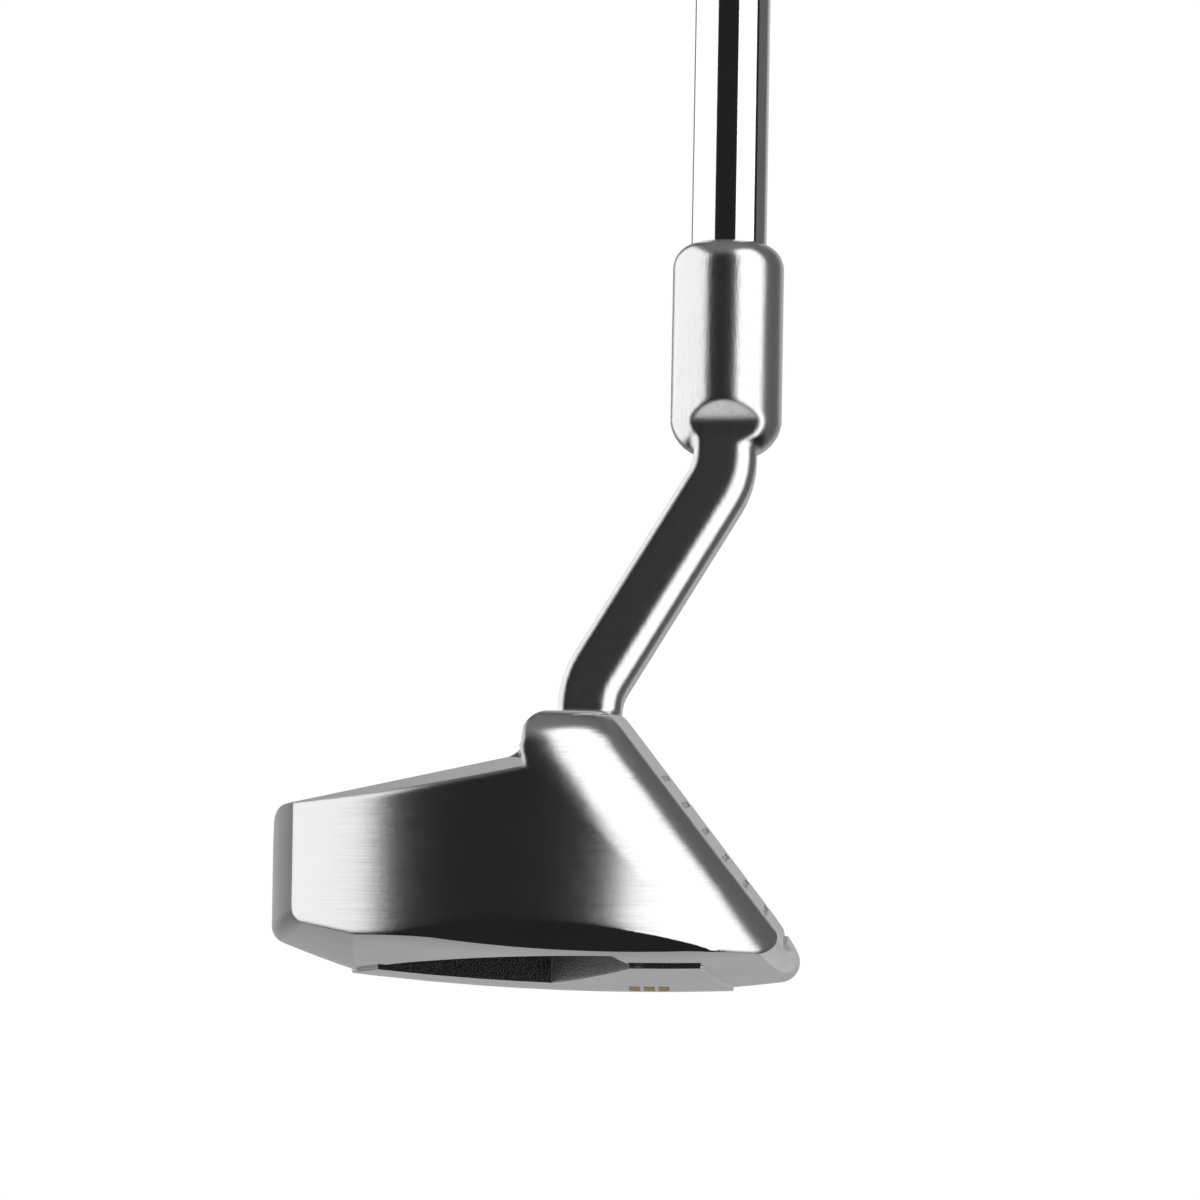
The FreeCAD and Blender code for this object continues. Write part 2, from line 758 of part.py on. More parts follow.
def build_shaft():
    """A tapered steel tube whose taper is a run of equal steps between straight ends."""
    body = new_body("shaft_tube", False)
    steps = int(number("step_count"))
    outer = [("tip_radius", "bore_low_v")]
    inner = [("tip_radius - tip_wall", "bore_low_v")]
    wall = "(tip_wall + (butt_wall - tip_wall) * %d / step_count)"
    radius = "tip_radius + (butt_radius - tip_radius) * %d / step_count"
    for step in range(steps):
        here = "step_first_v + %d * step_pitch" % step
        outer += [(radius % step, here), (radius % (step + 1), here + " + step_ramp")]
        inner += [(radius % step + " - " + wall % step, here),
                  (radius % (step + 1) + " - " + wall % (step + 1), here + " + step_ramp")]
    outer.append(("butt_radius", BUTT_V))
    inner.append(("butt_radius - butt_wall", BUTT_V))
    turned(body, "shaft", outer + inner[::-1])
    return body


def build_tip_weight():
    """A brass swing-weight pin held in the shaft tip, above the bottom of the bore."""
    body = new_body("tip_weight", False)
    turned(body, "weight", [("0", "bore_low_v"), ("tip_radius - tip_wall", "bore_low_v"),
                            ("tip_radius - tip_wall", "bore_low_v + weight_head"),
                            ("weight_radius", "bore_low_v + weight_head + weight_cone"),
                            ("weight_radius", "bore_low_v + weight_length"),
                            ("0", "bore_low_v + weight_length")])
    return body


# ---------------------------------------------------------------- grip
GRIP_LOW_V = "(club_length - grip_length)"
TAPE_LOW_V = GRIP_LOW_V + " + mouth_lip"
TAPE_RADIUS = "(butt_radius + tape_thickness)"


def build_tape():
    """Double-sided tape between the shaft and the grip."""
    body = new_body("grip_tape", False)
    turned(body, "tape", [("butt_radius", TAPE_LOW_V), (TAPE_RADIUS, TAPE_LOW_V),
                          (TAPE_RADIUS, BUTT_V), ("butt_radius", BUTT_V)])
    return body


def build_grip():
    """A round tapered rubber sleeve, its mouth rounded and its butt end wider."""
    body = new_body("grip_sleeve", False)
    turned(body, "grip", [
        ("butt_radius", GRIP_LOW_V),
        ("grip_low_radius - mouth_round", GRIP_LOW_V),
        ("grip_low_radius", GRIP_LOW_V + " + mouth_round"),
        ("grip_high_radius", BUTT_V + " - flare_length"),
        ("cap_radius", BUTT_V),
        (TAPE_RADIUS, BUTT_V),
        (TAPE_RADIUS, TAPE_LOW_V),
        ("butt_radius", TAPE_LOW_V),
    ], {1: ("mouth_round", -1)})
    return body


def build_cap():
    """The end cap: a domed disc with a plug inside the shaft and a vent hole through both."""
    body = new_body("grip_cap", False)
    plug = "butt_radius - butt_wall"
    turned(body, "cap", [
        ("vent_radius", BUTT_V + " - cap_plug_length"),
        (plug, BUTT_V + " - cap_plug_length"),
        (plug, BUTT_V),
        ("cap_radius", BUTT_V),
        ("cap_radius - cap_round", "club_length"),
        ("vent_radius", "club_length"),
    ], {3: ("cap_round", -1)})
    return body


# ---------------------------------------------------------------- build, check and write
def check(bodies):
    """Stop if any object failed or any piece isn't one or more sound solids."""
    for item in doc.Objects:
        if "Invalid" in item.State or "Error" in item.State:
            raise RuntimeError(item.Label + " failed")
    for body in bodies:
        shape = body.Shape
        if shape.isNull() or not shape.isValid() or not shape.Solids:
            raise RuntimeError(body.Label + " is not a sound solid")


pieces = [
    build_head(),
    build_mark_fill(),
    build_sight_fill(),
    build_glue(),
    build_shaft(),
    build_tip_weight(),
    build_tape(),
    build_grip(),
    build_cap(),
]
doc.recompute()
check(pieces)
os.makedirs("parts", exist_ok=True)
for piece in pieces:
    piece.Shape.exportStep("parts/%s.step" % piece.Label)
    print("%-20s %9.0f mm3  %d solid(s)" % (piece.Label, piece.Shape.Volume, len(piece.Shape.Solids)))
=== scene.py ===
"""Looks of the putter-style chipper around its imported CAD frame. Metres, Blender 4.5."""
import math

import bpy
import numpy as np
from mathutils import Matrix, Vector


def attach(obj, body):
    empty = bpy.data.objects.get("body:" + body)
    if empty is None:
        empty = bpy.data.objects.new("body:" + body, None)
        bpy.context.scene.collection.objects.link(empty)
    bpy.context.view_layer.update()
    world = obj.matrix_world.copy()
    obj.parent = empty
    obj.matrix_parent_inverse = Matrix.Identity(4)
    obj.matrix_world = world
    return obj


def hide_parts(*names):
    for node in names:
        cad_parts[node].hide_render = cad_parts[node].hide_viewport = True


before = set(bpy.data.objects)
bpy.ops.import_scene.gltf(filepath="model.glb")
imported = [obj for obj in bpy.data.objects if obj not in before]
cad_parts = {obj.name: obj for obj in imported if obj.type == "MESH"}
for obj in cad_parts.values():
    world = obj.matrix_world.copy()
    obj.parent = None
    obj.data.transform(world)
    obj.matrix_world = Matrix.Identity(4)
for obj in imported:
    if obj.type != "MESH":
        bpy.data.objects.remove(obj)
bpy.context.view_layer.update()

MM = 0.001

# The club's own axis, from the ground up through hosel, shaft and grip
LIE = math.radians(80)
AXIS_FOOT = Vector((11.2, 30.2, 0.0)) * MM
AXIS_UP = Vector((0.0, math.cos(LIE), math.sin(LIE)))
AXIS_ACROSS = Vector((0.0, -math.sin(LIE), math.cos(LIE)))

# Head
FACE_FOOT_X = 25.04 * MM
LOFT = math.radians(38)
TOE_CENTRE_X = -9.4 * MM
TOE_RADIUS = 48.0 * MM
TOP_HEIGHT = 33.5 * MM
POCKET_TOP = 20.0 * MM
POCKET_FRONT_X = 2.0 * MM
POCKET_BACK_X = -31.0 * MM
GROOVE_HALF = 31.0 * MM
GROOVE_LOW = 5.8 * MM
GROOVE_HIGH = 27.5 * MM

# How far the head's edges look rounded
WALL_ROUND = 1.3 * MM
NECK_ROUND = 1.2 * MM
SOLE_ROUND = 0.3 * MM
FACE_ROUND = 0.1 * MM

# Brush marks per metre along x, y and z: level on the head, and along the neck and hosel
HEAD_BRUSH = (120.0, 120.0, 5200.0)
NECK_BRUSH = (3600.0, 3600.0, 90.0)

# Shaft and grip, measured along the axis
SHAFT_LOW = 75.0 * MM
SHAFT_HIGH = 885.0 * MM
TIP_RADIUS = 4.7 * MM
BUTT_RADIUS = 7.62 * MM
STEP_FIRST = 250.0 * MM
STEP_PITCH = 32.0 * MM
STEP_COUNT = 11
STEP_RAMP = 1.2 * MM
GRIP_LOW = 621.0 * MM
GRIP_FLARE = 875.0 * MM
GRIP_LOW_RADIUS = 9.6 * MM
GRIP_HIGH_RADIUS = 13.4 * MM
CAP_RADIUS = 15.58 * MM
CAP_ROUND = 4.0 * MM
CLUB_END = 889.0 * MM
VENT_RADIUS = 1.6 * MM
SHAFT_SEGMENTS = 160
GRIP_SEGMENTS = 300
CAP_SEGMENTS = 180

# The cap's end, as pairs of radius and depth below the club's end, in millimetres
CAP_END = ((11.0, 0.0), (10.6, 0.5), (9.9, 0.7), (9.2, 0.5), (8.8, 0.0), (4.2, 0.0), (3.6, 0.25),
           (2.4, 0.35), (1.9, 0.6), (1.6, 1.2), (1.6, 12.0))

# The grip's moulded pattern. The rings' heights are above its mouth, in millimetres.
GRIP_RINGS = (6.0, 9.0, 12.0, 242.0, 245.0, 248.0)
RING_DEPTH = 0.45 * MM
RING_HALF = 0.8 * MM
PATTERN_MARGIN = 20.0 * MM
DIMPLE_COLUMNS = 20
DIMPLE_PITCH = 7.0 * MM
DIMPLE_HALF_WIDTH = 1.15 * MM
DIMPLE_HALF_LENGTH = 2.6 * MM
DIMPLE_DEPTH = 0.6 * MM
THUMB_PANEL = math.radians(24)
CHEVRON_PITCH = 4.0 * MM
CHEVRON_SLOPE = 1.2
CHEVRON_HALF = 0.7 * MM
CHEVRON_DEPTH = 0.5 * MM

# Camera
LENS_MM = 312.4
CAMERA_PLACE = Vector((22.0, -1255.0, 29.5)) * MM
YAW = math.radians(1.155)
PITCH = math.radians(0.80)
ROLL = math.radians(0.90)

# Light and floor, in metres and watts
SOFTBOX_DISTANCE = 1.2
SOFTBOX_HEIGHT = 2.4
SOFTBOX_CENTRE = 0.3
OVERHEAD_SIZE = 1.6
OVERHEAD_POWER = 22
OVERHEAD_PLACE = (0.0, 0.1, 2.2)
FLOOR_DROP = 60.0 * MM
FLOOR_RADIUS = 0.72
FLOOR_SEGMENTS = 96
FLOOR_GONE = 0.66
FLOOR_WHOLE = 0.40

# Room, as the metal sees it. Directions are the x, y or z of a unit vector out of the club.
# WALL_STOPS is the brightness of the wall beyond the heel, from straight down to straight up.
WALL_STOPS = ((0.0, 0.0), (0.10, 0.02), (0.30, 0.42), (0.44, 0.36),
              (0.50, 0.45), (0.58, 0.44), (0.80, 0.34), (1.0, 0.10))
WALL_STARTS_Y = 0.66
WALL_FULL_Y = 0.92
WALL_DIM_X = -0.40
WALL_FULL_X = -0.05
WALL_DIM = 0.40
ROOM_DARK = 0.02
CEILING = 0.22
CEILING_STARTS_Z = 0.50
CEILING_FULL_Z = 0.95


# ---------------------------------------------------------------- camera
def add_camera():
    """A long lens at the toe end, just over the top line's height, looking towards the heel."""
    data = bpy.data.cameras.new("camera")
    data.sensor_width = 36.0
    data.lens = LENS_MM
    data.clip_end = 20.0
    camera = bpy.data.objects.new("camera", data)
    bpy.context.scene.collection.objects.link(camera)
    turn = Matrix.Rotation(YAW, 4, "Z") @ Matrix.Rotation(math.pi / 2 + PITCH, 4, "X")
    turn = turn @ Matrix.Rotation(ROLL, 4, "Z")
    camera.matrix_world = Matrix.Translation(CAMERA_PLACE) @ turn
    bpy.context.scene.camera = camera


# ---------------------------------------------------------------- light and floor
def aim(obj, target):
    """Turn an object so that its -Z points at the target."""
    direction = Vector(target) - obj.location
    obj.rotation_euler = direction.to_track_quat("-Z", "Y").to_euler()


def add_softbox(name, angle, width, power, distance=SOFTBOX_DISTANCE, height=SOFTBOX_HEIGHT,
                centre_z=SOFTBOX_CENTRE):
    """An upright area light. angle is from the toe side, in degrees, and + towards the face."""
    data = bpy.data.lights.new(name, "AREA")
    data.shape = "RECTANGLE"
    data.size = width
    data.size_y = height
    data.energy = power
    light = bpy.data.objects.new(name, data)
    turn = math.radians(angle)
    light.location = (math.sin(turn) * distance, -math.cos(turn) * distance, centre_z)
    bpy.context.scene.collection.objects.link(light)
    aim(light, (0.0, 0.0, centre_z))
    light.visible_camera = False


def add_overhead():
    """A light from straight above, for the floor and the grip. It doesn't show in the metal."""
    data = bpy.data.lights.new("overhead", "AREA")
    data.size = OVERHEAD_SIZE
    data.energy = OVERHEAD_POWER
    light = bpy.data.objects.new("overhead", data)
    light.location = OVERHEAD_PLACE
    bpy.context.scene.collection.objects.link(light)
    light.visible_camera = False
    light.visible_glossy = False


def map_range(tree, value, low, high, to_low=0.0, to_high=1.0, kind="SMOOTHSTEP"):
    """low to high turned into to_low to to_high, and held at both ends."""
    node = tree.nodes.new("ShaderNodeMapRange")
    node.interpolation_type = kind
    node.inputs["From Min"].default_value = low
    node.inputs["From Max"].default_value = high
    node.inputs["To Min"].default_value = to_low
    node.inputs["To Max"].default_value = to_high
    tree.links.new(value, node.inputs["Value"])
    return node.outputs["Result"]


def wall_brightness(tree, z):
    """Brightness of the wall beyond the heel, by how high a direction points."""
    ramp = tree.nodes.new("ShaderNodeValToRGB")
    elements = ramp.color_ramp.elements
    while len(elements) < len(WALL_STOPS):
        elements.new(0.5)
    for element, (place, level) in zip(elements, WALL_STOPS):
        element.position = place
        element.color = (level, level, level, 1)
    tree.links.new(map_range(tree, z, -1.0, 1.0, kind="LINEAR"), ramp.inputs["Fac"])
    return ramp.outputs["Color"]


def add_world():
    """White to the camera. The metal sees a dark room, a pale wall beyond the heel and a grey ceiling."""
    world = bpy.data.worlds.new("studio")
    bpy.context.scene.world = world
    world.use_nodes = True
    tree = world.node_tree
    nodes = tree.nodes
    links = tree.links
    nodes.clear()
    where = nodes.new("ShaderNodeTexCoord")
    split = nodes.new("ShaderNodeSeparateXYZ")
    links.new(where.outputs["Generated"], split.inputs[0])
    x, y, z = split.outputs
    beyond = map_range(tree, y, WALL_STARTS_Y, WALL_FULL_Y)
    aside = map_range(tree, x, WALL_DIM_X, WALL_FULL_X, WALL_DIM, 1.0, "LINEAR")
    above = map_range(tree, z, CEILING_STARTS_Z, CEILING_FULL_Z, ROOM_DARK, CEILING)
    wall = nodes.new("ShaderNodeMath")
    wall.operation = "MULTIPLY"
    links.new(beyond, wall.inputs[0])
    links.new(aside, wall.inputs[1])
    total = nodes.new("ShaderNodeMath")
    total.operation = "MULTIPLY_ADD"
    links.new(wall.outputs[0], total.inputs[0])
    links.new(wall_brightness(tree, z), total.inputs[1])
    links.new(above, total.inputs[2])
    room = nodes.new("ShaderNodeBackground")
    links.new(total.outputs[0], room.inputs["Color"])
    white = nodes.new("ShaderNodeBackground")
    white.inputs["Color"].default_value = (1, 1, 1, 1)
    path = nodes.new("ShaderNodeLightPath")
    mix = nodes.new("ShaderNodeMixShader")
    links.new(path.outputs["Is Camera Ray"], mix.inputs["Fac"])
    links.new(room.outputs[0], mix.inputs[1])
    links.new(white.outputs[0], mix.inputs[2])
    out = nodes.new("ShaderNodeOutputWorld")
    links.new(mix.outputs[0], out.inputs["Surface"])


# ---------------------------------------------------------------- node helpers
class Graph:
    """A material's nodes, with short calls that add and join them."""

    def __init__(self, name):
        self.material = bpy.data.materials.new(name)
        self.material.use_nodes = True
        self.tree = self.material.node_tree
        self.shader = self.tree.nodes["Principled BSDF"]

    def add(self, kind, **inputs):
        """A node, with its inputs set or linked by name."""
        node = self.tree.nodes.new(kind)
        for name, value in inputs.items():
            self.put(node.inputs[name.replace("_", " ")], value)
        return node

    def put(self, socket, value):
        """Link a socket to another node's output, or set its value."""
        if isinstance(value, bpy.types.NodeSocket):
            self.tree.links.new(value, socket)
        else:
            socket.default_value = value

    def calc(self, operation, first, second=0.0):
        """One step of arithmetic."""
        node = self.tree.nodes.new("ShaderNodeMath")
        node.operation = operation
        self.put(node.inputs[0], first)
        self.put(node.inputs[1], second)
        return node.outputs[0]

    def ramp(self, value, low, high):
        """0 at low and 1 at high. Either of the two may be the greater."""
        if low < high:
            return map_range(self.tree, value, low, high)
        return map_range(self.tree, value, high, low, 1.0, 0.0)

    def blend(self, factor, first, second):
        """A number between first and second."""
        node = self.tree.nodes.new("ShaderNodeMix")
        node.data_type = "FLOAT"
        self.put(node.inputs[0], factor)
        self.put(node.inputs[2], first)
        self.put(node.inputs[3], second)
        return node.outputs[0]

    def tint(self, factor, first, second):
        """A colour between first and second."""
        node = self.tree.nodes.new("ShaderNodeMix")
        node.data_type = "RGBA"
        self.put(node.inputs[0], factor)
        self.put(node.inputs[6], first if isinstance(first, bpy.types.NodeSocket) else (*first, 1))
        self.put(node.inputs[7], second if isinstance(second, bpy.types.NodeSocket) else (*second, 1))
        return node.outputs[2]

    def grain(self, stretch, scale=1.0, detail=3.0, roughness=0.6):
        """Noise over the object's own coordinates in metres, its grains stretched by axis."""
        place = self.tree.nodes.new("ShaderNodeTexCoord").outputs["Object"]
        mapping = self.add("ShaderNodeMapping", Vector=place, Scale=stretch)
        noise = self.add("ShaderNodeTexNoise", Vector=mapping.outputs[0], Scale=scale, Detail=detail,
                         Roughness=roughness)
        return noise.outputs["Fac"]

    def split(self, kind, output):
        """The x, y and z of one of a node's outputs."""
        source = self.tree.nodes.new(kind).outputs[output]
        return self.add("ShaderNodeSeparateXYZ", Vector=source).outputs

    def bump(self, height, distance, strength=1.0, normal=None):
        """The normal that a height in 0 to 1 gives when 1 stands distance metres proud."""
        node = self.add("ShaderNodeBump", Height=height, Distance=distance, Strength=strength)
        if normal is not None:
            self.put(node.inputs["Normal"], normal)
        return node.outputs[0]


# ---------------------------------------------------------------- head metal
def head_places(graph):
    """Where a point of the head is: its regions, each from 0 to 1."""
    x, y, z = graph.split("ShaderNodeTexCoord", "Object")
    facing_x, _, facing_z = graph.split("ShaderNodeNewGeometry", "Normal")
    across = graph.calc("SUBTRACT", x, TOE_CENTRE_X)
    squares = graph.calc("ADD", graph.calc("POWER", across, 2.0), graph.calc("POWER", y, 2.0))
    radius = graph.calc("SQRT", squares)
    side = graph.calc("ABSOLUTE", y)
    in_neck = graph.ramp(z, TOP_HEIGHT, TOP_HEIGHT + 1.5 * MM)
    in_head = graph.calc("SUBTRACT", 1.0, in_neck)
    sole = graph.calc("MULTIPLY", in_head, graph.ramp(facing_z, -0.15, -0.45))
    rear = graph.calc("MULTIPLY", in_head, graph.ramp(facing_x, -0.82, -0.93))
    crown = graph.calc("MULTIPLY", in_head, graph.ramp(facing_z, 0.80, 0.92))
    polished = graph.calc("MAXIMUM", sole, graph.calc("MAXIMUM", rear, crown))
    inside = graph.calc("MULTIPLY", graph.ramp(radius, TOE_RADIUS - 1.0 * MM, TOE_RADIUS - 2.0 * MM),
                        graph.ramp(z, POCKET_TOP + 1.0 * MM, POCKET_TOP + 0.2 * MM))
    off_sole = graph.ramp(facing_z, -0.80, -0.40)
    deep = graph.ramp(z, 8.0 * MM, 12.0 * MM)
    between = graph.calc("MULTIPLY", graph.ramp(x, POCKET_FRONT_X + 2.0 * MM, POCKET_FRONT_X),
                         graph.ramp(x, POCKET_BACK_X - 2.0 * MM, POCKET_BACK_X))
    pocket = graph.calc("MULTIPLY", graph.calc("MULTIPLY", inside, between),
                        graph.calc("MAXIMUM", off_sole, deep))
    ahead = graph.calc("SUBTRACT", x, FACE_FOOT_X)
    depth = graph.calc("ADD", graph.calc("MULTIPLY", ahead, math.cos(LOFT)),
                       graph.calc("MULTIPLY", z, math.sin(LOFT)))
    on_face = graph.calc("MULTIPLY", graph.ramp(depth, -0.5 * MM, -0.2 * MM),
                         graph.ramp(side, GROOVE_HALF + 1.5 * MM, GROOVE_HALF + 0.5 * MM))
    groove = graph.calc("MULTIPLY", graph.ramp(depth, -0.04 * MM, -0.12 * MM),
                        graph.ramp(depth, -0.70 * MM, -0.60 * MM))
    groove = graph.calc("MULTIPLY", groove, graph.ramp(side, GROOVE_HALF + 0.4 * MM, GROOVE_HALF + 0.1 * MM))
    groove = graph.calc("MULTIPLY", groove, graph.ramp(z, GROOVE_LOW - 0.4 * MM, GROOVE_LOW))
    groove = graph.calc("MULTIPLY", groove, graph.ramp(z, GROOVE_HIGH + 0.5 * MM, GROOVE_HIGH))
    off_edge = graph.calc("MAXIMUM", polished, graph.calc("MAXIMUM", inside, on_face))
    wall = graph.calc("MULTIPLY", in_head, graph.calc("SUBTRACT", 1.0, off_edge))
    return {"neck": in_neck, "polished": polished, "pocket": pocket, "groove": groove, "wall": wall,
            "face": on_face}


def head_metal():
    """Cast alloy: brushed sides, face, neck and hosel, a polished sole, crown and rear, rough pockets, and
    score lines darkened with painted shade.
    """
    graph = Graph("head_metal")
    places = head_places(graph)
    head_brush = graph.grain(HEAD_BRUSH, 1.0, 4.0, 0.65)
    neck_brush = graph.grain(NECK_BRUSH, 1.0, 4.0, 0.65)
    brush = graph.blend(places["neck"], head_brush, neck_brush)
    cloud = graph.grain((1.0, 1.0, 1.0), 90.0, 2.0, 0.5)
    fine = graph.grain((1.0, 1.0, 1.0), 5200.0, 2.0, 0.6)
    satin = graph.calc("SUBTRACT", 1.0, places["polished"])

    head_rough = graph.blend(brush, 0.15, 0.26)
    neck_rough = graph.blend(brush, 0.17, 0.28)
    satin_rough = graph.blend(places["neck"], head_rough, neck_rough)
    smooth = graph.blend(places["polished"], satin_rough, graph.blend(cloud, 0.05, 0.08))
    rough = graph.blend(places["pocket"], smooth, 0.38)
    rough = graph.blend(places["groove"], rough, 0.45)
    graph.put(graph.shader.inputs["Roughness"], rough)

    bright = graph.tint(graph.calc("MULTIPLY", satin, brush), (0.74, 0.74, 0.752), (0.54, 0.54, 0.55))
    worn = graph.tint(graph.ramp(cloud, 0.35, 0.75), bright, (0.66, 0.66, 0.675))
    cast = graph.tint(fine, (0.08, 0.08, 0.081), (0.20, 0.20, 0.202))
    color = graph.tint(places["pocket"], worn, cast)
    # Painted shade: the score lines get a darker grey, standing in for the shade inside the grooves.
    color = graph.tint(places["groove"], color, (0.46, 0.46, 0.462))
    graph.put(graph.shader.inputs["Base Color"], color)
    # Painted shade: the score lines are made less metallic so that they read darker, as if shaded.
    painted_groove_shade = graph.calc("MULTIPLY", places["groove"], 0.4)
    graph.put(graph.shader.inputs["Metallic"], graph.calc("SUBTRACT", 1.0, painted_groove_shade))

    edge_round = graph.blend(places["face"], SOLE_ROUND, FACE_ROUND)
    edge_round = graph.blend(places["neck"], edge_round, NECK_ROUND)
    edge_round = graph.blend(places["wall"], edge_round, WALL_ROUND)
    soft_edges = graph.add("ShaderNodeBevel", Radius=edge_round)
    soft_edges.samples = 12
    marks = graph.calc("MULTIPLY", brush, satin)
    normal = graph.bump(marks, 0.02 * MM, 0.7, soft_edges.outputs[0])
    normal = graph.bump(graph.calc("MULTIPLY", fine, places["pocket"]), 0.08 * MM, 0.8, normal)
    graph.put(graph.shader.inputs["Normal"], normal)

    return graph.material


# ---------------------------------------------------------------- other materials
def shaft_chrome():
    """Bright chrome plate, with faint polishing marks round the tube."""
    graph = Graph("shaft_chrome")
    rings = graph.grain((60.0, 60.0, 3000.0), 1.0, 3.0)
    cloud = graph.grain((1.0, 1.0, 1.0), 70.0, 2.0)
    graph.put(graph.shader.inputs["Base Color"], graph.tint(cloud, (0.72, 0.72, 0.73), (0.78, 0.78, 0.79)))
    graph.put(graph.shader.inputs["Roughness"], graph.blend(cloud, 0.035, 0.075))
    graph.put(graph.shader.inputs["Normal"], graph.bump(rings, 0.0015 * MM, 0.4))
    graph.shader.inputs["Metallic"].default_value = 1.0
    return graph.material


def enamel(name, dark, light, metallic):
    """A fill of enamel with fine flakes and a slightly uneven skin."""
    graph = Graph(name)
    flakes = graph.grain((1.0, 1.0, 1.0), 9000.0, 2.0)
    graph.put(graph.shader.inputs["Base Color"], graph.tint(graph.ramp(flakes, 0.35, 0.65), dark, light))
    graph.put(graph.shader.inputs["Roughness"], graph.blend(flakes, 0.25, 0.45))
    skin = graph.grain((1.0, 1.0, 1.0), 1500.0, 2.0)
    graph.put(graph.shader.inputs["Normal"], graph.bump(skin, 0.02 * MM, 0.5))
    graph.shader.inputs["Metallic"].default_value = metallic
    return graph.material


def epoxy():
    """Cured epoxy with small bubbles."""
    graph = Graph("epoxy")
    bubbles = graph.grain((1.0, 1.0, 1.0), 3000.0, 2.0)
    color = graph.tint(bubbles, (0.09, 0.085, 0.075), (0.16, 0.15, 0.13))
    graph.put(graph.shader.inputs["Base Color"], color)
    graph.put(graph.shader.inputs["Roughness"], graph.blend(bubbles, 0.25, 0.5))
    graph.put(graph.shader.inputs["Normal"], graph.bump(bubbles, 0.05 * MM, 0.5))
    return graph.material


def turned_brass():
    """Brass with the fine rings of a lathe cut."""
    graph = Graph("weight_brass")
    rings = graph.grain((80.0, 80.0, 6000.0), 1.0, 3.0)
    graph.put(graph.shader.inputs["Base Color"], graph.tint(rings, (0.60, 0.42, 0.17), (0.78, 0.60, 0.30)))
    graph.put(graph.shader.inputs["Roughness"], graph.blend(rings, 0.2, 0.38))
    graph.put(graph.shader.inputs["Normal"], graph.bump(rings, 0.01 * MM, 0.6))
    graph.shader.inputs["Metallic"].default_value = 1.0
    return graph.material


def paper_tape():
    """Creped masking tape."""
    graph = Graph("tape")
    crepe = graph.grain((400.0, 400.0, 2500.0), 1.0, 3.0)
    graph.put(graph.shader.inputs["Base Color"], graph.tint(crepe, (0.66, 0.58, 0.42), (0.80, 0.73, 0.57)))
    graph.put(graph.shader.inputs["Roughness"], graph.blend(crepe, 0.75, 0.95))
    graph.put(graph.shader.inputs["Normal"], graph.bump(crepe, 0.08 * MM, 0.6))
    return graph.material


def rubber(name, dark, light, grain_size, relief):
    """Moulded rubber: a fine matt grain, and faint dust and wear at a larger scale."""
    graph = Graph(name)
    fine = graph.grain((1.0, 1.0, 1.0), 1.0 / grain_size, 3.0)
    cloud = graph.grain((1.0, 1.0, 1.0), 45.0, 3.0)
    edges = graph.ramp(graph.tree.nodes.new("ShaderNodeNewGeometry").outputs["Pointiness"], 0.50, 0.56)
    color = graph.tint(graph.ramp(cloud, 0.35, 0.7), dark, light)
    worn = tuple(min(1.0, 1.7 * level) for level in light)
    color = graph.tint(graph.calc("MULTIPLY", edges, 0.6), color, worn)
    graph.put(graph.shader.inputs["Base Color"], color)
    graph.put(graph.shader.inputs["Roughness"], graph.blend(fine, 0.52, 0.78))
    graph.put(graph.shader.inputs["Normal"], graph.bump(fine, relief, 0.7))
    graph.shader.inputs["Specular IOR Level"].default_value = 0.42
    return graph.material


def pale_floor():
    """Smooth pale paint that fades out at the rim, so the floor has no edge."""
    graph = Graph("floor_paint")
    cloud = graph.grain((1.0, 1.0, 1.0), 6.0, 2.0)
    color = graph.tint(cloud, (0.86, 0.86, 0.865), (0.89, 0.89, 0.895))
    graph.put(graph.shader.inputs["Base Color"], color)
    graph.shader.inputs["Roughness"].default_value = 0.9
    place = graph.add("ShaderNodeVectorMath",
                      Vector=graph.tree.nodes.new("ShaderNodeTexCoord").outputs["Object"])
    place.operation = "LENGTH"
    graph.put(graph.shader.inputs["Alpha"], graph.ramp(place.outputs["Value"], FLOOR_GONE, FLOOR_WHOLE))
    return graph.material


# ---------------------------------------------------------------- meshes
def turned_mesh(name, rows, radii, segments, material, node):
    """A skin round the club's axis. radii has one row per height and one column per segment."""
    angles = np.arange(segments) * (2 * math.pi / segments)
    cosines = np.cos(angles)
    sines = np.sin(angles)
    foot = np.array(AXIS_FOOT)
    side = np.array((1.0, 0.0, 0.0))
    back = np.array(AXIS_ACROSS)
    up = np.array(AXIS_UP)
    points = []
    for height, ring in zip(rows, radii):
        ring = np.broadcast_to(ring, (segments,))
        points.append(foot + up * height + np.outer(ring * cosines, side) + np.outer(ring * sines, back))
    points = np.concatenate(points)
    faces = []
    for row in range(len(rows) - 1):
        low = row * segments
        high = low + segments
        for column in range(segments):
            after = (column + 1) % segments
            faces.append((low + column, high + column, high + after, low + after))
    mesh = bpy.data.meshes.new(name)
    mesh.from_pydata(points.tolist(), [], faces)
    mesh.validate()
    mesh.polygons.foreach_set("use_smooth", [True] * len(mesh.polygons))
    mesh.materials.append(material)
    piece = bpy.data.objects.new(name, mesh)
    bpy.context.scene.collection.objects.link(piece)
    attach(piece, "root")
    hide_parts(node)


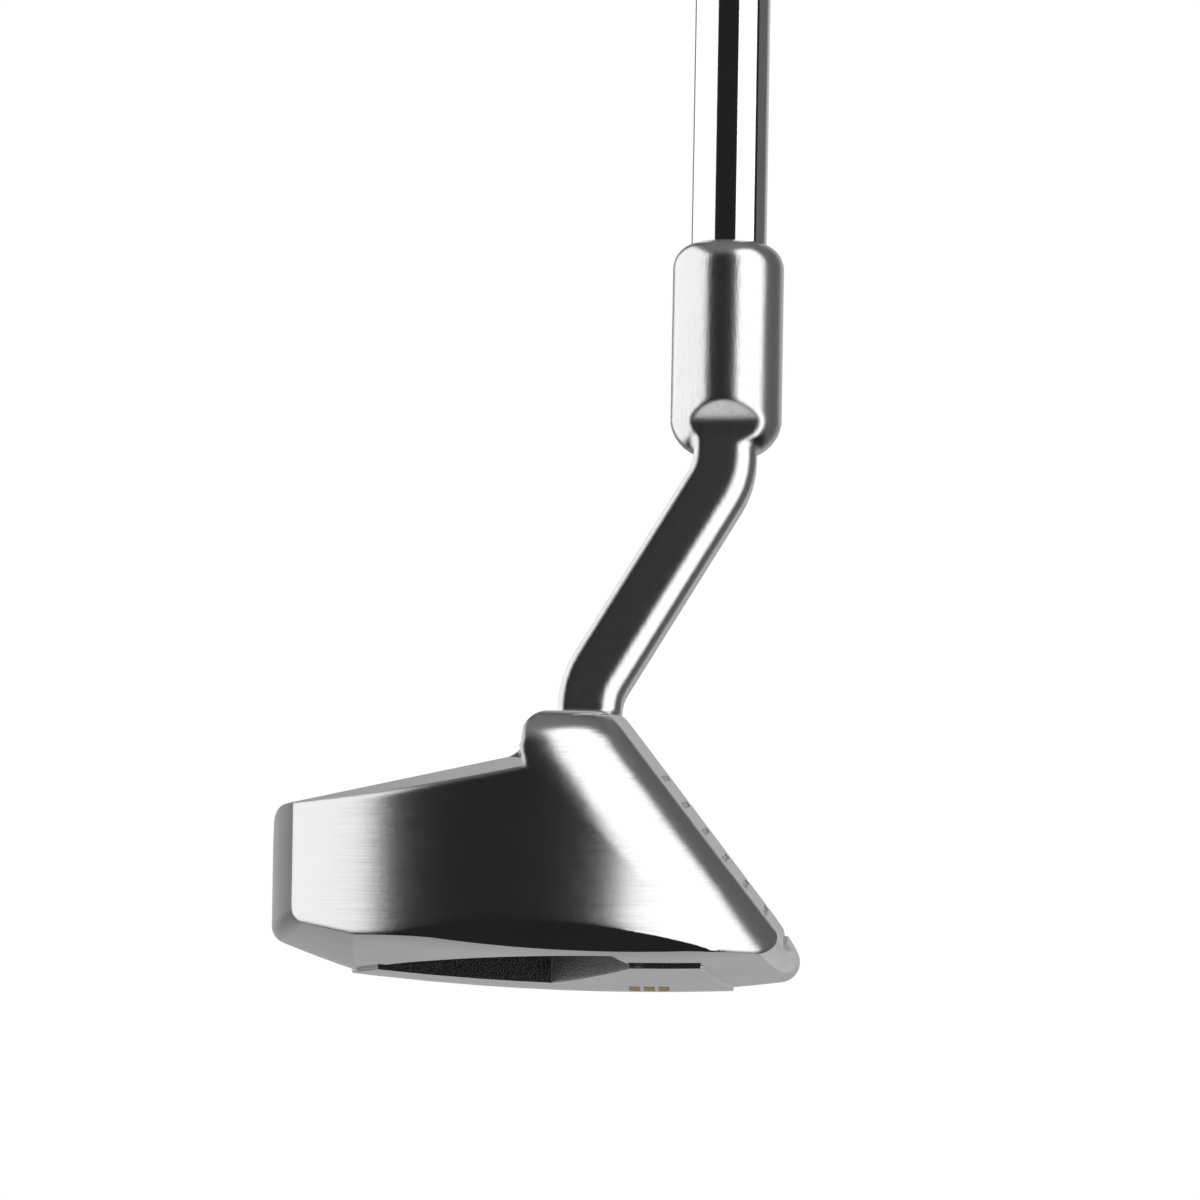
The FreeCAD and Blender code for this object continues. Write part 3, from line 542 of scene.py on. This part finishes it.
def shaft_profile():
    """Heights and radii of the shaft, with a crisp ramp at each step."""
    rows = [SHAFT_LOW, SHAFT_LOW, SHAFT_LOW + 0.4 * MM]
    radii = [0.5 * TIP_RADIUS, TIP_RADIUS - 0.4 * MM, TIP_RADIUS]
    growth = (BUTT_RADIUS - TIP_RADIUS) / STEP_COUNT
    edge = 0.25 * MM
    for step in range(STEP_COUNT):
        foot = STEP_FIRST + step * STEP_PITCH
        small = TIP_RADIUS + step * growth
        rows += [foot - 1.0 * MM, foot - edge, foot + 0.25 * STEP_RAMP, foot + 0.75 * STEP_RAMP,
                 foot + STEP_RAMP + edge, foot + STEP_RAMP + 1.0 * MM]
        radii += [small, small, small + 0.2 * growth, small + 0.8 * growth, small + growth, small + growth]
    rows += [SHAFT_HIGH - 0.5 * MM, SHAFT_HIGH, SHAFT_HIGH]
    radii += [BUTT_RADIUS, BUTT_RADIUS - 0.1 * MM, BUTT_RADIUS - 0.5 * MM]
    return rows, radii


def add_shaft():
    """The plated tube, round at any distance."""
    rows, radii = shaft_profile()
    dense_rows = []
    dense_radii = []
    for index in range(len(rows) - 1):
        run = rows[index + 1] - rows[index]
        parts = max(1, int(run / (12.0 * MM)))
        for part in range(parts):
            share = part / parts
            dense_rows.append(rows[index] + run * share)
            dense_radii.append(radii[index] + (radii[index + 1] - radii[index]) * share)
    dense_rows.append(rows[-1])
    dense_radii.append(radii[-1])
    turned_mesh("shaft_skin", dense_rows, dense_radii, SHAFT_SEGMENTS, shaft_chrome(),
                "shaft_tube")


def bowl(distance, half_width):
    """1 in the middle of a groove or dimple and 0 at its edge, with a rounded section."""
    inside = np.clip(1.0 - (distance / half_width) ** 2, 0.0, 1.0)
    return np.sqrt(inside)


def grip_radius(height):
    """Outer radius of the plain grip at a height along the axis."""
    share = (height - GRIP_LOW) / (GRIP_FLARE - GRIP_LOW)
    straight = GRIP_LOW_RADIUS + (GRIP_HIGH_RADIUS - GRIP_LOW_RADIUS) * np.clip(share, 0.0, 1.0)
    flare = np.clip((height - GRIP_FLARE) / (SHAFT_HIGH - GRIP_FLARE), 0.0, 1.0)
    return straight + (CAP_RADIUS - GRIP_HIGH_RADIUS) * flare


def grip_relief(height, angles):
    """How deep the moulded pattern is at a height, all the way round."""
    depth = np.zeros_like(angles)
    for ring in GRIP_RINGS:
        depth = np.maximum(depth, RING_DEPTH * bowl(height - GRIP_LOW - ring * MM, RING_HALF))
    low = GRIP_LOW + PATTERN_MARGIN
    if not low < height < GRIP_FLARE - PATTERN_MARGIN:
        return depth
    girth = 2 * math.pi / DIMPLE_COLUMNS
    radius = grip_radius(height)
    for offset in (0.0, 0.5):
        place = (height - low) / DIMPLE_PITCH + offset
        along = (place - round(place)) * DIMPLE_PITCH
        turn = angles / girth + offset
        across = (turn - np.round(turn)) * girth * radius
        reach = np.sqrt((across / DIMPLE_HALF_WIDTH) ** 2 + (along / DIMPLE_HALF_LENGTH) ** 2)
        depth = np.maximum(depth, DIMPLE_DEPTH * bowl(reach, 1.0))
    panel = np.cos(angles - math.pi / 2) > math.cos(THUMB_PANEL)
    drop = np.abs(angles - math.pi / 2) * radius * CHEVRON_SLOPE
    chevron = (height - low - drop) / CHEVRON_PITCH
    lines = CHEVRON_DEPTH * bowl((chevron - np.round(chevron)) * CHEVRON_PITCH, CHEVRON_HALF)
    return np.where(panel, lines, depth)


def add_grip():
    """The moulded sleeve: rings at both ends, staggered dimples and a thumb panel of chevrons."""
    segments = GRIP_SEGMENTS
    angles = np.arange(segments) * (2 * math.pi / segments)
    mouth = 1.2 * MM
    rows = [GRIP_LOW, GRIP_LOW]
    radii = [np.full(segments, BUTT_RADIUS), np.full(segments, GRIP_LOW_RADIUS - mouth)]
    for step in range(1, 6):
        turn = step / 6 * math.pi / 2
        rows.append(GRIP_LOW + mouth * (1 - math.cos(turn)))
        radii.append(np.full(segments, GRIP_LOW_RADIUS - mouth + mouth * math.sin(turn)))
    for height in np.arange(GRIP_LOW + mouth, SHAFT_HIGH - 0.2 * MM, 0.55 * MM):
        rows.append(float(height))
        radii.append(grip_radius(height) - grip_relief(height, angles))
    rows += [SHAFT_HIGH, SHAFT_HIGH]
    radii += [np.full(segments, CAP_RADIUS), np.full(segments, BUTT_RADIUS)]
    material = rubber("grip_rubber", (0.018, 0.018, 0.019), (0.034, 0.034, 0.036), 0.25 * MM, 0.03 * MM)
    turned_mesh("grip_moulded", rows, radii, segments, material, "grip_sleeve")


def add_cap():
    """The end cap: a rounded rim, a ring groove, a shallow middle and the vent hole."""
    segments = CAP_SEGMENTS
    rows = [SHAFT_HIGH - 8.0 * MM, SHAFT_HIGH - 8.0 * MM, SHAFT_HIGH, SHAFT_HIGH]
    radii = [VENT_RADIUS, BUTT_RADIUS - 0.5 * MM, BUTT_RADIUS - 0.5 * MM, CAP_RADIUS]
    for step in range(1, 10):
        turn = step / 9 * math.pi / 2
        rows.append(SHAFT_HIGH + CAP_ROUND * math.sin(turn))
        radii.append(CAP_RADIUS - CAP_ROUND + CAP_ROUND * math.cos(turn))
    for radius, drop in CAP_END:
        rows.append(CLUB_END - drop * MM)
        radii.append(radius * MM)
    rings = [np.full(segments, radius) for radius in radii]
    material = rubber("cap_rubber", (0.022, 0.022, 0.023), (0.038, 0.038, 0.040), 0.4 * MM, 0.02 * MM)
    turned_mesh("cap_moulded", rows, rings, segments, material, "grip_cap")


def add_floor():
    """A pale round floor a little under the club. The metal doesn't reflect it."""
    points = [(0.0, 0.0, 0.0)]
    faces = []
    for index in range(FLOOR_SEGMENTS):
        turn = 2 * math.pi * index / FLOOR_SEGMENTS
        points.append((FLOOR_RADIUS * math.cos(turn), FLOOR_RADIUS * math.sin(turn), 0.0))
        faces.append((0, 1 + index, 1 + (index + 1) % FLOOR_SEGMENTS))
    mesh = bpy.data.meshes.new("floor")
    mesh.from_pydata(points, [], faces)
    mesh.materials.append(pale_floor())
    floor = bpy.data.objects.new("floor", mesh)
    floor.location = (0.0, 0.02, -FLOOR_DROP)
    bpy.context.scene.collection.objects.link(floor)
    floor.visible_glossy = False


# ---------------------------------------------------------------- the scene
NODE_MATERIALS = {
    "head_casting": head_metal,
    "sole_mark_fill": lambda: enamel("gold_enamel", (0.36, 0.20, 0.04), (0.72, 0.46, 0.13), 0.85),
    "sight_line_fill": lambda: enamel("dark_enamel", (0.012, 0.012, 0.013), (0.03, 0.03, 0.032), 0.0),
    "hosel_adhesive": epoxy,
    "tip_weight": turned_brass,
    "grip_tape": paper_tape,
}


def dress_nodes():
    """Give each CAD node that stays its own material."""
    for name, make in NODE_MATERIALS.items():
        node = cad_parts[name]
        node.data.materials.clear()
        node.data.materials.append(make())


add_camera()
add_world()
add_softbox("left_softbox", angle=-99, width=3.0, power=30)
add_softbox("right_softbox", angle=54, width=1.5, power=28, height=3.6, centre_z=0.6)
add_softbox("rear_fill", angle=133, width=2.2, power=2, distance=1.4)
add_overhead()
dress_nodes()
add_shaft()
add_grip()
add_cap()
add_floor()
bpy.context.scene.view_settings.view_transform = "Standard"
